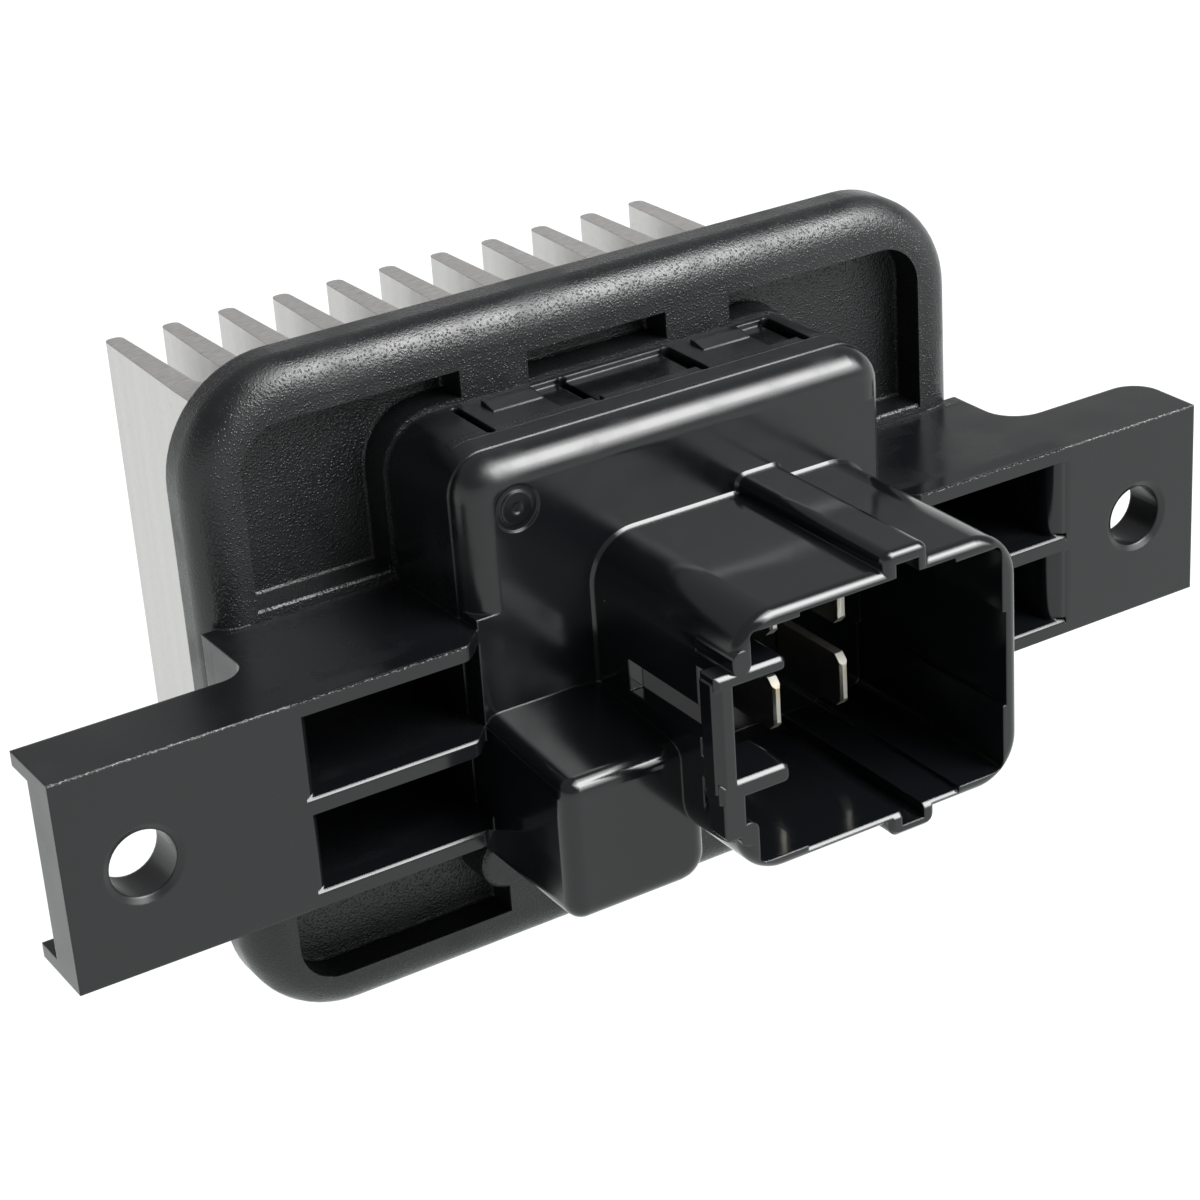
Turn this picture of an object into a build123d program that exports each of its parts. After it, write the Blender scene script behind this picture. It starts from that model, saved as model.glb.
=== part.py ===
from build123d import *
import os

# The origin lies midway between the two ear holes, on the front face of the ears.
# X runs along the ears, Y from the plug side towards the fins, Z up. All sizes are in millimetres.

# Fixing holes
hole_spacing = 96.0
hole_bore = 5.5
hole_rim = 6.6
hole_rim_depth = 0.3

# Ears
ear_end = 6.5
ear_height = 17.8
ear_wall = 1.25
ear_web = 4.0
ear_side_left = 6.9
ear_side_right = 7.55
ear_tip_round = 2.8
ear_root_round_left = 2.3
ear_root_round_right = 3.4
ear_rib = 1.3
ear_rib_drop = 0.15
ear_pocket_wall = 1.5
ear_pocket_round_left = 1.3
ear_pocket_round_right = 2.0
ear_run_out = 1.8
ear_lip = 0.35

# Flange
body_x = 2.5
flange_width = 74.0
flange_height = 58.8
flange_front = 14.4
flange_thick = 5.0
flange_corner = 9.5
flange_nose = 3.0
flange_pocket_depth = 3.5
flange_frame = 4.2
flange_pocket_corner = 3.8
flange_strip = 0.8
pocket_cove = 0.45
ledge_lip = 0.35
lower_pocket_frame = 3.9
lower_pocket_width = 20.2
boss_radius = 2.6
boss_height = 4.0
boss_z = -20.3
boss_lip = 0.4
bridge_width = 6.3
bridge_height = 6.0
bridge_left = -10.5

# Hollow box
box_front = 2.0
box_half_front = 20.1
box_half_root = 20.35
box_top = 22.35
box_wall = 1.45
box_roof = 1.25
box_corner_front = 3.0
box_corner_root = 4.6
box_edge_round = 2.4
cap_back = 4.75
cap_step = 0.12
skirt_step = 0.32
mark_x = -13.1
mark_z = 18.0
mark_radius = 1.95
mark_inner = 1.4
mark_depth = 0.18
mark_dot = 0.45

# Openings in the roof of the box
slit_width = 0.8
slit_pitch = 10.05
slit_count = 4
slit_shift = 0.75
slit_front = 7.2
slit_back = 13.6
recess_depth = 0.5
recess_front = 8.2
recess_back = 13.5
recess_narrow = 2.8
catch_width = 4.6
catch_inset = 2.1
catch_front = 10.7
catch_run = 2.0
catch_height = 0.4
catch_flat = 0.6

# Lower block beside the plug
block_left = -17.7
block_right = -5.0
block_bottom = -12.3
block_top = 1.2
block_front = -10.0
block_back = 4.0
block_slope = 1.2
block_round = 1.4
block_side_round = 1.5
block_corner = 2.4

# Plug shroud
shroud_x = 6.45
shroud_z = 2.55
shroud_width = 27.1
shroud_height = 22.1
shroud_rim = -18.0
shroud_corner = 4.0
shroud_side = 1.65
shroud_roof = 1.15
shroud_rim_round = 1.0
shroud_root = 0.6
mouth_lip = 0.35
ridge_round = 0.9
ridge_end_round = 0.7
socket_floor = 1.4
socket_relief = 0.35
key_width = 4.4
key_height = 1.4
key_slot = 2.2
key_slot_rise = 0.35
key_x = 9.2
bump_height = 1.2

# Latch in the left wall of the shroud
finger_top = 9.6
finger_low = -1.2
finger_thick = 1.25
finger_low_thick = 1.7
finger_reach = 3.2
finger_depth = 5.0
finger_out = 1.6
finger_out_depth = 2.1
stub_top = 9.2
strap_thick = 1.55
strap_depth = 2.1
strap_out = 1.7
window_low = 2.15
window_top = 5.0
window_back = -3.0
neck_drop = 2.2
neck_out = 1.4
neck_in = 0.5
neck_foot = 1.0
stub_round = 0.8
finger_lip = 0.3

# Blade terminals
blade_thick = 0.8
blade_width = 4.7
blade_tip = -7.6
blade_chamfer = 0.8
blade_x = 7.15
blade_pitch_x = 6.6
blade_z = 3.25
blade_pitch_z = 8.45
blade_right_drop = 1.0
blade_shoulder = 1.2
blade_tail = 1.6
tail_beyond = 1.0

# Heat sink
sink_lap = 1.275
sink_height = 52.0
sink_base = 3.8
sink_depth = 38.0
fin_count = 11
fin_pitch = 5.13
fin_root = 2.3
fin_tip = 1.55
fin_valley_round = 1.3
fin_tip_round = 0.65
bond_film = 0.2

# Circuit board and what stands on it
board_gap = 4.5
board_thick = 1.6
board_clear = 0.8
post_radius = 1.9
post_inset = 2.6
stake_radius = 0.9
stake_head = 1.6
stake_rise = 0.8
hole_clear = 0.05

# Power transistor on the heat sink
transistor_side = 12.15
transistor_z = 8.6
transistor_width = 15.9
transistor_tall = 20.8
transistor_thick = 5.0
transistor_hole = 3.6
transistor_hole_drop = 6.2
pad_thick = 0.3
leg_pitch = 5.45
leg_width = 1.2
leg_thick = 0.6
leg_reach = 3.0
leg_height = 2.4
screw_radius = 1.5
screw_head = 2.8
screw_head_rise = 2.0
screw_bite = 3.4
washer_thick = 0.8
washer_radius = 3.0

# Smaller parts on the board
capacitor_radius = 4.0
capacitor_tall = 11.0
capacitor_side = 4.95
capacitor_z = 11.0
capacitor_lead = 0.35
capacitor_far_lead = 2.9
capacitor_near_lead = 0.9
shunt_shift = 4.9
shunt_z = 14.6
chip_side = 5.65
chip_z = 13.5
chip_row_up = 5.0
chip_row_down = 5.4
chip_row_pitch = 3.0
chip_row_shift = 1.2
chip_length = 2.0
chip_width = 1.25
resistor_rise = 0.5
ceramic_rise = 1.1
diode_z = 18.0
fuse_side = 10.15
fuse_z = 3.0
fuse_radius = 1.2
fuse_length = 8.0
solder_rise = 0.6
solder_radius = 1.3
wire_solder_radius = 0.9

# Places worked out from the sizes above
flange_back = flange_front + flange_thick
box_bottom = -ear_height / 2
cavity_front = box_front + box_wall
cavity_left = body_x - box_half_front + box_wall
cavity_right = body_x + box_half_front - box_wall
cavity_bottom = box_bottom + ear_wall
cavity_top = box_top - box_roof
cavity_x = (cavity_left + cavity_right) / 2
cavity_z = (cavity_bottom + cavity_top) / 2
sink_front = flange_back + bond_film
sink_half = (fin_count - 1) / 2 * fin_pitch + fin_root / 2
sink_x = cavity_right + sink_lap - sink_half
transistor_x = cavity_left + transistor_side
capacitor_x = cavity_right - capacitor_side
chip_x = cavity_left + chip_side
shunt_x = cavity_x + shunt_shift
diode_x = shunt_x
fuse_x = cavity_left + fuse_side
board_front = cavity_front + board_gap
board_back = board_front + board_thick
pad_front = sink_front - pad_thick
transistor_front = pad_front - transistor_thick
shroud_left = shroud_x - shroud_width / 2
shroud_bottom = shroud_z - shroud_height / 2
shroud_top = shroud_z + shroud_height / 2


def slab(outline, y_front, y_back):
    """Thickens an outline drawn in X and Z from y_front to y_back."""
    plane = Plane(origin=(0, y_back, 0), x_dir=(1, 0, 0), z_dir=(0, -1, 0))
    return extrude(plane * outline, amount=y_back - y_front)


def brick(x_low, x_high, y_low, y_high, z_low, z_high):
    """A rectangular solid between the given limits."""
    middle = Pos((x_low + x_high) / 2, (y_low + y_high) / 2, (z_low + z_high) / 2)
    return middle * Box(x_high - x_low, y_high - y_low, z_high - z_low)


def bar(x, z, radius, y_low, y_high):
    """A round bar along Y."""
    return slab(Pos(x, z) * Circle(radius), y_low, y_high)


def lip_cut(x_low, x_high, y, z, size):
    """What a 45 degree lip takes off a front edge along X whose solid lies behind y and below z."""
    reach = 0.3
    corner = make_face(
        Polyline(
            (y - reach, z - size - reach),
            (y + size + reach, z + reach),
            (y - reach, z + reach),
            close=True,
        )
    )
    return extrude(Plane.YZ.offset(x_low) * corner, amount=x_high - x_low)


def arch(half, low, high, corner, rounded_end):
    """A rectangle about the middle of the body, its corners at one end rounded."""
    sheet = Pos(body_x, (low + high) / 2) * Rectangle(2 * half, high - low)
    corners = sheet.vertices().group_by(Axis.Y)[rounded_end]
    return fillet(corners, corner)


def mirrored(shape):
    """The same shape on the other side of the middle of the body."""
    return mirror(shape, about=Plane.YZ.offset(body_x))


def skirt_outline():
    """The foot of the box, a little proud of its walls."""
    return arch(box_half_root + skirt_step, 0, box_top + skirt_step, box_corner_root + skirt_step, -1)


def upper_pocket():
    """The pocket round the box, crossed by two bridges above the roof."""
    outer_half = flange_width / 2 - flange_frame
    strip_top = ear_height / 2 + flange_strip
    outline = arch(outer_half, strip_top, flange_height / 2 - flange_frame - 0.2, flange_pocket_corner, -1)
    outline -= skirt_outline()
    bridge_z = box_top + 2
    bridge = Pos(bridge_left + bridge_width / 2, bridge_z) * Rectangle(bridge_width, bridge_height)
    outline -= bridge
    outline -= mirrored(bridge)
    return coved(slab(outline, flange_front - 1, flange_front + flange_pocket_depth))


def coved(pocket):
    """The same pocket with a small slope all round its floor."""
    floor = flange_front + flange_pocket_depth
    edges = [e for e in pocket.edges() if abs(e.center().Y - floor) < 0.001]
    return chamfer(edges, pocket_cove)


def lower_pocket():
    """The pocket below the left ear, with a round boss standing in its inner end."""
    left = body_x - flange_width / 2 + flange_frame
    low = -flange_height / 2 + lower_pocket_frame
    high = -ear_height / 2 - flange_strip
    outline = Pos(left + lower_pocket_width / 2, (low + high) / 2) * Rectangle(lower_pocket_width, high - low)
    corner = outline.vertices().sort_by_distance((left, low))[0]
    outline = fillet(corner, flange_pocket_corner)
    floor = flange_front + flange_pocket_depth
    pocket = coved(slab(outline, flange_front - 1, floor))
    return pocket - bar(left + lower_pocket_width, boss_z, boss_radius, floor - boss_height, floor)


def make_flange():
    """The plate against the duct, bull-nosed round its front edge."""
    outline = Pos(body_x, 0) * RectangleRounded(flange_width, flange_height, flange_corner)
    plate = slab(outline, flange_front, flange_back)
    plate = fillet(plate.faces().sort_by(Axis.Y)[0].edges(), flange_nose)
    plate -= upper_pocket()
    plate -= lower_pocket()
    plate -= mirrored(lower_pocket())
    floor = flange_front + flange_pocket_depth
    left = body_x - flange_width / 2 + flange_frame + lower_pocket_width
    stud = bar(left, boss_z, boss_radius, floor - boss_height, floor)
    stud = chamfer(stud.faces().sort_by(Axis.Y)[0].edges(), boss_lip)
    ledge_left = body_x - flange_width / 2 + flange_frame
    ledge_right = body_x - box_half_root
    ledge = lip_cut(ledge_left, ledge_right, flange_front, ear_height / 2 + flange_strip, ledge_lip)
    plate -= ledge
    plate -= mirrored(ledge)
    return plate + stud + mirrored(stud)


def ear_pocket_plan(side, pocket_half, inner_half, nose):
    """Plan of one ear pocket, flared at the front of its outer wall."""
    outer = body_x + side * pocket_half
    inner = body_x + side * inner_half
    plan = Pos((outer + inner) / 2, flange_front / 2 - 1) * Rectangle(abs(outer - inner), flange_front + 2)
    flare = Pos(outer + side * nose / 2, nose / 2 - 0.5) * Rectangle(nose, nose + 1)
    flare -= Pos(outer + side * nose, nose) * Circle(nose)
    return plan + flare


def make_ear(side, side_depth, tip_round, root_round, nose):
    """One ear: a web with top and bottom walls, two open pockets, and its fixing hole."""
    tip = side * (hole_spacing / 2 + ear_end)
    pocket_half = flange_width / 2 - 1.1
    root = body_x + side * (pocket_half + ear_pocket_wall)
    inner = body_x + side * (box_half_front - 0.8)
    meet = body_x + side * box_half_front
    plan = make_face(
        Polyline(
            (tip, 0),
            (tip, side_depth),
            (root, side_depth),
            (root, flange_front + 1),
            (inner, flange_front + 1),
            (inner, box_front),
            (meet, box_front),
            (meet + side * ear_run_out, 0),
            close=True,
        )
    )
    plan = fillet(plan.vertices().sort_by_distance((root, side_depth))[0], root_round)
    plan = fillet(plan.vertices().sort_by_distance((meet + side * ear_run_out, 0))[0], ear_run_out * 0.9)
    if tip_round > 0:
        plan = fillet(plan.vertices().sort_by_distance((tip, side_depth))[0], tip_round)
    ear = extrude(Pos(0, 0, -ear_height / 2) * plan, amount=ear_height)
    inside = ear_height / 2 - ear_wall
    channel = make_face(
        Polyline(
            (tip + side, ear_web),
            (tip + side, flange_front + 2),
            (root, flange_front + 2),
            (root, ear_web),
            close=True,
        )
    )
    channel = fillet(channel.vertices().sort_by_distance((root, ear_web))[0], 1.0)
    ear -= extrude(Pos(0, 0, -inside) * channel, amount=2 * inside)
    pocket = ear_pocket_plan(side, pocket_half, box_half_front - 0.5, nose)
    rib_low = -ear_rib / 2 - ear_rib_drop
    rib_high = rib_low + ear_rib
    ear -= extrude(Pos(0, 0, rib_high) * pocket, amount=inside - rib_high)
    ear -= extrude(Pos(0, 0, -inside) * pocket, amount=rib_low + inside)
    ends = sorted((body_x + side * (pocket_half + nose * 0.8), body_x + side * box_half_front))
    for edge in (rib_high, -inside):
        ear -= lip_cut(*ends, 0, edge, ear_lip)
    return ear


def make_box():
    """The outside of the hollow box, its upper front edges rounded and its lower ones sharp."""
    low = box_bottom

    def section(half, corner, y):
        plane = Plane(origin=(0, y, 0), x_dir=(1, 0, 0), z_dir=(0, -1, 0))
        top = box_top - (cap_step if half < box_half_front else 0)
        return plane * arch(half, low, top, corner, -1)

    share = (cap_back - box_front) / (flange_front + 1 - box_front)
    middle = box_half_front + share * (box_half_root - box_half_front)
    corner = box_corner_front + share * (box_corner_root - box_corner_front)
    rear = loft(
        [
            section(box_half_root, box_corner_root, flange_front + 1),
            section(middle, corner, cap_back),
        ]
    )
    cap = section(middle - cap_step, corner - cap_step, cap_back)
    outside = rear + extrude(cap, amount=cap_back - box_front)
    ledge = Plane.XY.offset(ear_height / 2 + flange_strip)
    upper = split(outside, bisect_by=ledge, keep=Keep.TOP)
    lower = split(outside, bisect_by=ledge, keep=Keep.BOTTOM)
    front = upper.faces().sort_by(Axis.Y)[0]
    rim = [e for e in front.edges() if e.center().Z > ear_height / 2 + flange_strip + 0.01]
    return fillet(rim, box_edge_round) + lower


def face_mark():
    """The round ejector mark pressed into the top left of the box face."""
    ring = bar(mark_x, mark_z, mark_radius, box_front - 1, box_front + mark_depth)
    ring -= bar(mark_x, mark_z, mark_inner, box_front - 2, box_front + 1)
    return ring + bar(mark_x, mark_z, mark_dot, box_front - 1, box_front + mark_depth / 2)


def make_lower_block():
    """The solid block under the left side of the box face."""
    profile = make_face(
        Polyline(
            (block_back, block_bottom),
            (block_front, block_bottom),
            (block_front, block_top - block_slope),
            (box_front, block_top),
            (block_back, block_top),
            close=True,
        )
    )
    body = extrude(Plane.YZ.offset(block_left) * profile, amount=block_right - block_left)
    along = [e for e in body.edges() if abs(e.tangent_at(0.5).Y) > 0.98 and e.center().Y < box_front]
    low_right = [e for e in along if e.center().X > block_right - 1 and e.center().Z < block_bottom + 1]
    body = fillet(low_right, block_corner)
    others = [
        e
        for e in body.edges()
        if abs(e.tangent_at(0.5).Y) > 0.98 and e.center().X < block_left + 0.1 and e.center().Y < box_front
    ]
    body = fillet(others, block_side_round)
    front = body.faces().sort_by(Axis.Y)[0]
    return fillet(front.edges(), block_round)


def flared(wide, tall, corner, x, z):
    """The root of a rounded bar on the box face, spreading at 45 degrees into it."""
    sunk = 0.5
    spread = shroud_root + sunk
    foot = Pos(x, z) * RectangleRounded(wide + 2 * spread, tall + 2 * spread, corner + spread)
    plane = Plane(origin=(0, box_front + sunk, 0), x_dir=(1, 0, 0), z_dir=(0, -1, 0))
    root = extrude(plane * foot, amount=spread, taper=45)
    far = 2 * shroud_width
    return root & brick(x - far, x + far, box_front - far, box_front + far, box_bottom, far)


def make_shroud():
    """The outside of the plug shroud with its keying ridge and bump."""
    outline = Pos(shroud_x, shroud_z) * RectangleRounded(shroud_width, shroud_height, shroud_corner)
    tube = slab(outline, shroud_rim, box_front + 1)
    tube = fillet(tube.faces().sort_by(Axis.Y)[0].edges(), shroud_rim_round)
    ridge_outline = RectangleRounded(key_width, 2 * key_height, ridge_round)
    ridge = slab(Pos(key_x, shroud_top) * ridge_outline, shroud_rim, box_front + 1)
    ridge = fillet(ridge.faces().sort_by(Axis.Y)[0].edges(), ridge_end_round)
    bump_outline = RectangleRounded(key_width, 2 * bump_height, ridge_round)
    bump = slab(Pos(key_x, shroud_bottom) * bump_outline, shroud_rim, box_front + 1)
    bump = chamfer(bump.faces().sort_by(Axis.Y)[0].edges(), mouth_lip)
    body = tube + ridge + bump
    body += flared(shroud_width, shroud_height, shroud_corner, shroud_x, shroud_z)
    return body + flared(key_width, 2 * key_height, ridge_round, key_x, shroud_top)


def socket_space():
    """The space inside the shroud: the socket, its wall reliefs and the two key channels."""
    wide = shroud_width - 2 * shroud_side
    tall = shroud_height - 2 * shroud_roof
    space = Pos(shroud_x, shroud_z) * RectangleRounded(wide, tall, 0.6)
    space += Pos(shroud_x, shroud_z) * RectangleRounded(wide + 2 * socket_relief, tall * 0.42, 0.15)
    space += Pos(shroud_x, shroud_z) * RectangleRounded(wide * 0.62, tall + 2 * socket_relief, 0.15)
    top = shroud_top + key_slot_rise
    low = shroud_bottom - key_slot_rise
    space += Pos(key_x, (top + low) / 2) * Rectangle(key_slot, top - low)
    space = slab(space, shroud_rim - 1, socket_floor)
    half = wide * 0.31
    sill = shroud_bottom + shroud_roof - socket_relief
    return space + lip_cut(shroud_x - half, shroud_x + half, shroud_rim, sill, mouth_lip)


def latch_gap():
    """What the latch leaves open in the left wall: the gap at the rim, and the window behind it."""
    wall_out = shroud_left - 1
    wall_in = shroud_left + shroud_side + 0.5
    back = shroud_rim + finger_depth
    low = finger_low - neck_drop - stub_round
    gap = brick(wall_out, wall_in, shroud_rim - 1, back, low, stub_top + stub_round)
    window = brick(wall_out, wall_in, back - 0.1, window_back, window_low, window_top)
    return gap + window


def latch_pieces():
    """The two fingers, the strap between them and the neck below, one moulding with the shroud."""
    inner = shroud_left + shroud_side + finger_reach
    outer = shroud_left - finger_out

    def finger(low, thick):
        inside = brick(shroud_left, inner, shroud_rim, shroud_rim + finger_depth, low, low + thick)
        tips = [e for e in inside.edges().filter_by(Axis.Y) if e.center().X > inner - 0.1]
        inside = fillet(tips, thick * 0.4)
        front = inside.faces().sort_by(Axis.Y)[0]
        inside = chamfer([e for e in front.edges() if e.center().X > shroud_left + 0.1], finger_lip)
        outside = brick(outer, shroud_left + 0.5, shroud_rim, shroud_rim + finger_out_depth, low, low + thick)
        front = outside.faces().sort_by(Axis.Y)[0]
        outside = chamfer([e for e in front.edges() if e.center().X < shroud_left + 0.4], finger_lip)
        return inside + outside

    def stub(z):
        outline = RectangleRounded(shroud_side, 2.5 * stub_round, stub_round)
        return slab(Pos(shroud_left + shroud_side / 2, z) * outline, shroud_rim, shroud_rim + finger_depth)

    upper = finger(finger_top - finger_thick, finger_thick)
    lower = finger(finger_low, finger_low_thick)
    strap = brick(
        shroud_left - strap_out,
        shroud_left - strap_out + strap_thick,
        shroud_rim,
        shroud_rim + strap_depth,
        finger_low + finger_low_thick / 2,
        finger_top - finger_thick / 2,
    )
    bevel = [e for e in strap.edges().filter_by(Axis.Z) if e.center().X < shroud_left - 1]
    front = [e for e in bevel if e.center().Y < shroud_rim + 1]
    strap = chamfer(front, 0.6)
    neck = brick(
        shroud_left - neck_out,
        shroud_left + neck_in,
        shroud_rim,
        shroud_rim + finger_out_depth,
        finger_low - neck_drop - neck_foot,
        finger_low + 0.4,
    )
    neck = fillet(neck.edges().filter_by(Axis.Y).sort_by(Axis.X)[0:2], 0.5)
    low_stub = stub(finger_low - neck_drop - 1.25 * stub_round)
    high_stub = stub(stub_top + 1.25 * stub_round)
    return upper + lower + strap + neck + low_stub + high_stub


def blade_places():
    """Centres of the four blades in X and Z."""
    left = blade_x - blade_pitch_x / 2
    right = blade_x + blade_pitch_x / 2
    low = blade_z - blade_pitch_z / 2
    high = blade_z + blade_pitch_z / 2
    return [(left, low), (right, low), (left, high), (right, high - blade_right_drop)]


def blade_slots():
    """The slots that the four blades pass through."""
    slots = []
    for x, z in blade_places():
        half_x = blade_thick / 2 + hole_clear
        half_z = blade_width / 2 + hole_clear
        slots.append(brick(x - half_x, x + half_x, 0, cavity_front + 1, z - half_z, z + half_z))
    return slots


def board_posts():
    """Centres of the four posts that carry the board."""
    half_x = (cavity_right - cavity_left) / 2 - post_inset
    half_z = (cavity_top - cavity_bottom) / 2 - post_inset
    return [(cavity_x + i * half_x, cavity_z + j * half_z) for i in (-1, 1) for j in (-1, 1)]


def make_posts():
    """Posts inside the box, each with a heat-staked pin through the board."""
    posts = []
    for x, z in board_posts():
        post = bar(x, z, post_radius, cavity_front - 0.5, board_front)
        pin = bar(x, z, stake_radius, cavity_front, board_back + 0.2)
        head = bar(x, z, stake_head, board_back, board_back + stake_rise)
        head = chamfer(head.faces().sort_by(Axis.Y)[-1].edges(), 0.35)
        posts.append(post + pin + head)
    return posts


def slit_places():
    """The X of each slit in the roof."""
    return [body_x + slit_shift + (i - (slit_count - 1) / 2) * slit_pitch for i in range(slit_count)]


def roof_recess(left, right):
    """A shallow recess in the roof between two limits of X."""
    return brick(left, right, recess_front, recess_back, box_top - recess_depth, box_top + 2)


def roof_cuts():
    """The slits, the wide recess between the middle two, and the narrow one beside each catch."""
    slits = slit_places()
    cuts = []
    for x in slits:
        slot = SlotOverall(slit_back - slit_front, slit_width)
        shape = Pos(x, (slit_front + slit_back) / 2) * Rot(0, 0, 90) * slot
        cuts.append(extrude(Pos(0, 0, cavity_top - 0.5) * shape, amount=box_roof + 2))
    cuts.append(roof_recess(slits[1] + slit_width / 2, slits[2] - slit_width / 2))
    for slit in (slits[1], slits[3]):
        cuts.append(roof_recess(slit - slit_width / 2 - recess_narrow, slit - slit_width / 2))
    return cuts


def roof_catches():
    """The two small wedge catches, one on each tongue of the roof."""
    catches = []
    for slit in (slit_places()[0], slit_places()[2]):
        left = slit + catch_inset
        back = catch_front + catch_run
        wedge = make_face(
            Polyline(
                (catch_front, box_top - 0.2),
                (catch_front, box_top + 0.1),
                (back - catch_flat, box_top + catch_height),
                (back, box_top + catch_height),
                (back, box_top - 0.2),
                close=True,
            )
        )
        catches.append(extrude(Plane.YZ.offset(left) * wedge, amount=catch_width))
    return catches


def make_hole_rim(x):
    """The countersunk rim of an ear hole."""
    slant = (hole_rim - hole_bore) / 2
    cone = Cone(hole_bore / 2, hole_bore / 2 + 2 * slant, 2 * hole_rim_depth)
    return Pos(x, 0, 0) * Rot(90, 0, 0) * cone


def make_housing():
    """The whole black moulding."""
    body = make_flange()
    body += make_ear(-1, ear_side_left, 0, ear_root_round_left, ear_pocket_round_left)
    body += make_ear(1, ear_side_right, ear_tip_round, ear_root_round_right, ear_pocket_round_right)
    body += make_box()
    body += make_lower_block()
    body += make_shroud()
    cavity = arch(box_half_front - box_wall, cavity_bottom, cavity_top, 2.0, -1)
    body -= slab(cavity, cavity_front, flange_back + 1)
    body -= socket_space()
    body -= latch_gap()
    body += latch_pieces()
    body -= face_mark()
    for cut in roof_cuts():
        body -= cut
    for catch in roof_catches():
        body += catch
    for slot in blade_slots():
        body -= slot
    for post in make_posts():
        body += post
    for side in (-1, 1):
        x = side * hole_spacing / 2
        body -= bar(x, 0, hole_bore / 2, -1, ear_web + 1)
        body -= make_hole_rim(x)
    return body


def make_heat_sink():
    """The finned extrusion, tapered fins with round valleys, drilled for the transistor's screw."""
    first = sink_x - (fin_count - 1) / 2 * fin_pitch
    root_y = sink_front + sink_base
    points = [(first - fin_root / 2, sink_front)]
    for i in range(fin_count):
        x = first + i * fin_pitch
        points += [
            (x - fin_root / 2, root_y),
            (x - fin_tip / 2, sink_depth),
            (x + fin_tip / 2, sink_depth),
            (x + fin_root / 2, root_y),
        ]
    points.append((points[-1][0], sink_front))
    profile = make_face(Polyline(*points, close=True))
    tips = [v for v in profile.vertices() if abs(v.Y - sink_depth) < 0.01]
    profile = fillet(tips, fin_tip_round)
    ends = (points[1][0] + 0.1, points[-2][0] - 0.1)
    valleys = [v for v in profile.vertices() if abs(v.Y - root_y) < 0.01 and ends[0] < v.X < ends[1]]
    profile = fillet(valleys, fin_valley_round)
    sink = extrude(Pos(0, 0, -sink_height / 2) * profile, amount=sink_height)
    return sink - bar(transistor_x, screw_z(), screw_radius, sink_front - 1, sink_front + screw_bite + 0.1)


def screw_z():
    """Height of the transistor's fixing hole."""
    return transistor_z + transistor_tall / 2 - transistor_hole_drop


def make_bond_film():
    """The adhesive film between the flange and the heat sink, open over the box."""
    outline = Pos(sink_x, 0) * Rectangle(2 * sink_half, sink_height)
    outline -= arch(box_half_front - box_wall, cavity_bottom, cavity_top, 2.0, -1)
    return slab(outline, flange_back, sink_front)


def make_terminal(x, z):
    """A flat blade with a chamfered tip, shoulders behind the wall and a narrow tail in the board."""
    tail_end = board_back + tail_beyond
    half = blade_width / 2
    blade = make_face(
        Polyline(
            (blade_tip, z - half + blade_chamfer),
            (blade_tip, z + half - blade_chamfer),
            (blade_tip + blade_chamfer, z + half),
            (cavity_front, z + half),
            (cavity_front, z + half + 0.6),
            (cavity_front + blade_shoulder, z + half + 0.6),
            (cavity_front + blade_shoulder, z + blade_tail / 2),
            (tail_end, z + blade_tail / 2),
            (tail_end, z - blade_tail / 2),
            (cavity_front + blade_shoulder, z - blade_tail / 2),
            (cavity_front + blade_shoulder, z - half - 0.6),
            (cavity_front, z - half - 0.6),
            (cavity_front, z - half),
            (blade_tip + blade_chamfer, z - half),
            close=True,
        )
    )
    body = extrude(Plane.YZ.offset(x - blade_thick / 2) * blade, amount=blade_thick)
    tip_edges = [e for e in body.edges().filter_by(Axis.Z) if e.center().Y < blade_tip + 0.01]
    return chamfer(tip_edges, 0.22)


def leg_places():
    """The X of each of the transistor's three legs."""
    return [transistor_x + i * leg_pitch for i in (-1, 0, 1)]


def leg_z():
    """The height at which the legs pass the board."""
    return transistor_z - transistor_tall / 2 - leg_reach


def make_board():
    """The circuit board with holes for the posts, the blade tails, the legs and the capacitor."""
    wide = cavity_right - cavity_left - 2 * board_clear
    tall = cavity_top - cavity_bottom - 2 * board_clear
    board = slab(Pos(cavity_x, cavity_z) * Rectangle(wide, tall), board_front, board_back)
    for x, z in board_posts():
        board -= bar(x, z, stake_radius + hole_clear, board_front - 1, board_back + 1)
    for x, z in blade_places():
        half_x = blade_thick / 2 + hole_clear
        half_z = blade_tail / 2 + hole_clear
        board -= brick(x - half_x, x + half_x, board_front - 1, board_back + 1, z - half_z, z + half_z)
    for x in leg_places():
        board -= bar(x, leg_z(), leg_width / 2 + 0.15, board_front - 1, board_back + 1)
    for z in capacitor_leads_z():
        board -= bar(capacitor_x, z, capacitor_lead + hole_clear, board_front - 1, board_back + 1)
    for x in fuse_leads_x():
        board -= bar(x, fuse_z, capacitor_lead + hole_clear, board_front - 1, board_back + 1)
    return board


def make_transistor():
    """The moulded transistor body with its fixing hole."""
    outline = Pos(transistor_x, transistor_z) * Rectangle(transistor_width, transistor_tall)
    body = slab(outline, transistor_front, pad_front)
    front = body.faces().sort_by(Axis.Y)[0]
    body = chamfer(front.edges(), 0.7)
    return body - bar(transistor_x, screw_z(), transistor_hole / 2, transistor_front - 1, pad_front + 1)


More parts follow.
